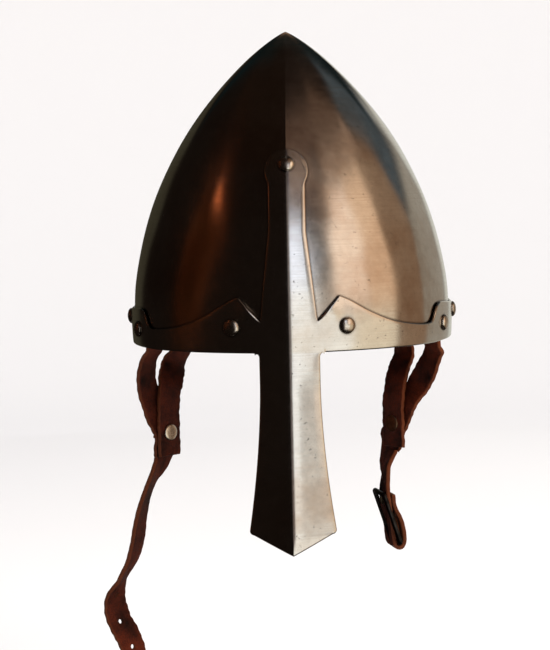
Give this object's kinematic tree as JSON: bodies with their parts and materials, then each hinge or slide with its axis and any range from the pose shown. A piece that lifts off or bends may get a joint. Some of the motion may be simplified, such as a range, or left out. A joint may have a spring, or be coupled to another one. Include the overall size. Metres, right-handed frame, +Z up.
{
  "type": "nasal helmet",
  "caption": "Pointed steel helmet with a medial ridge, a riveted brow band with a nasal, a leather liner and a forked chin strap with a buckle.",
  "frame": {"origin": "centre of the head opening, in the plane of the rim", "axes": "+Z up towards the apex, -Y forward towards the nasal, +X towards the side of the buckle strap"},
  "size_m": [0.2367, 0.2502, 0.4843],
  "materials": {
    "skull_steel": "satin, brushed across, darkened with age",
    "band_steel": "satin with fine scratches and small dark pits",
    "rivet_steel": "hammered domes, satin",
    "buckle_iron": "blackened iron wire",
    "strap_leather": "reddish brown vegetable-tanned leather, tan at the cut edges",
    "liner_leather": "soft brown leather, matt",
    "lace_leather": "round leather lace"
  },
  "bodies": {
    "helmet": {"skull": "skull_steel", "brow_band_nasal": "band_steel", "finial_rivet": "rivet_steel", "front_rivet_left": "rivet_steel", "front_rivet_right": "rivet_steel", "lobe_rivet_lower_front_left": "rivet_steel", "lobe_rivet_upper_left": "rivet_steel", "lobe_rivet_lower_rear_left": "rivet_steel", "lobe_rivet_lower_front_right": "rivet_steel", "lobe_rivet_upper_right": "rivet_steel", "lobe_rivet_lower_rear_right": "rivet_steel", "rear_rivet_left": "rivet_steel", "rear_rivet_right": "rivet_steel", "rear_rivet_middle": "rivet_steel", "liner": "liner_leather", "liner_lace": "lace_leather", "front_tab_left": "strap_leather", "front_tab_right": "strap_leather", "rear_tab_left": "strap_leather", "rear_tab_right": "strap_leather"},
    "left_strap": {"long_strap_left": "strap_leather", "rear_leg_left": "strap_leather", "fork_rivet_left": "rivet_steel"},
    "right_strap": {"buckle_strap_right": "strap_leather", "rear_leg_right": "strap_leather", "fork_rivet_right": "rivet_steel", "fold_rivet": "rivet_steel"},
    "buckle": {"buckle_frame": "buckle_iron"},
    "tongue": {"buckle_tongue": "buckle_iron"}
  },
  "joints": [
    {"name": "left_strap_swing", "type": "hinge", "parent": "helmet", "child": "left_strap", "pos_m": [-0.0827, 0.0529, -0.006], "axis": [0.413, 0.9107, 0], "range_deg": [-20, 60]},
    {"name": "right_strap_swing", "type": "hinge", "parent": "helmet", "child": "right_strap", "pos_m": [0.0827, 0.0529, -0.006], "axis": [0.413, -0.9107, 0], "range_deg": [-20, 60]},
    {"name": "buckle_turn", "type": "hinge", "parent": "right_strap", "child": "buckle", "pos_m": [0.066, 0.05, -0.143], "axis": [0.2419, -0.9703, 0], "range_deg": [0, 165]},
    {"name": "tongue_turn", "type": "hinge", "parent": "buckle", "child": "tongue", "pos_m": [0.066, 0.05, -0.143], "axis": [0.2419, -0.9703, 0], "range_deg": [0, 120]}
  ]
}
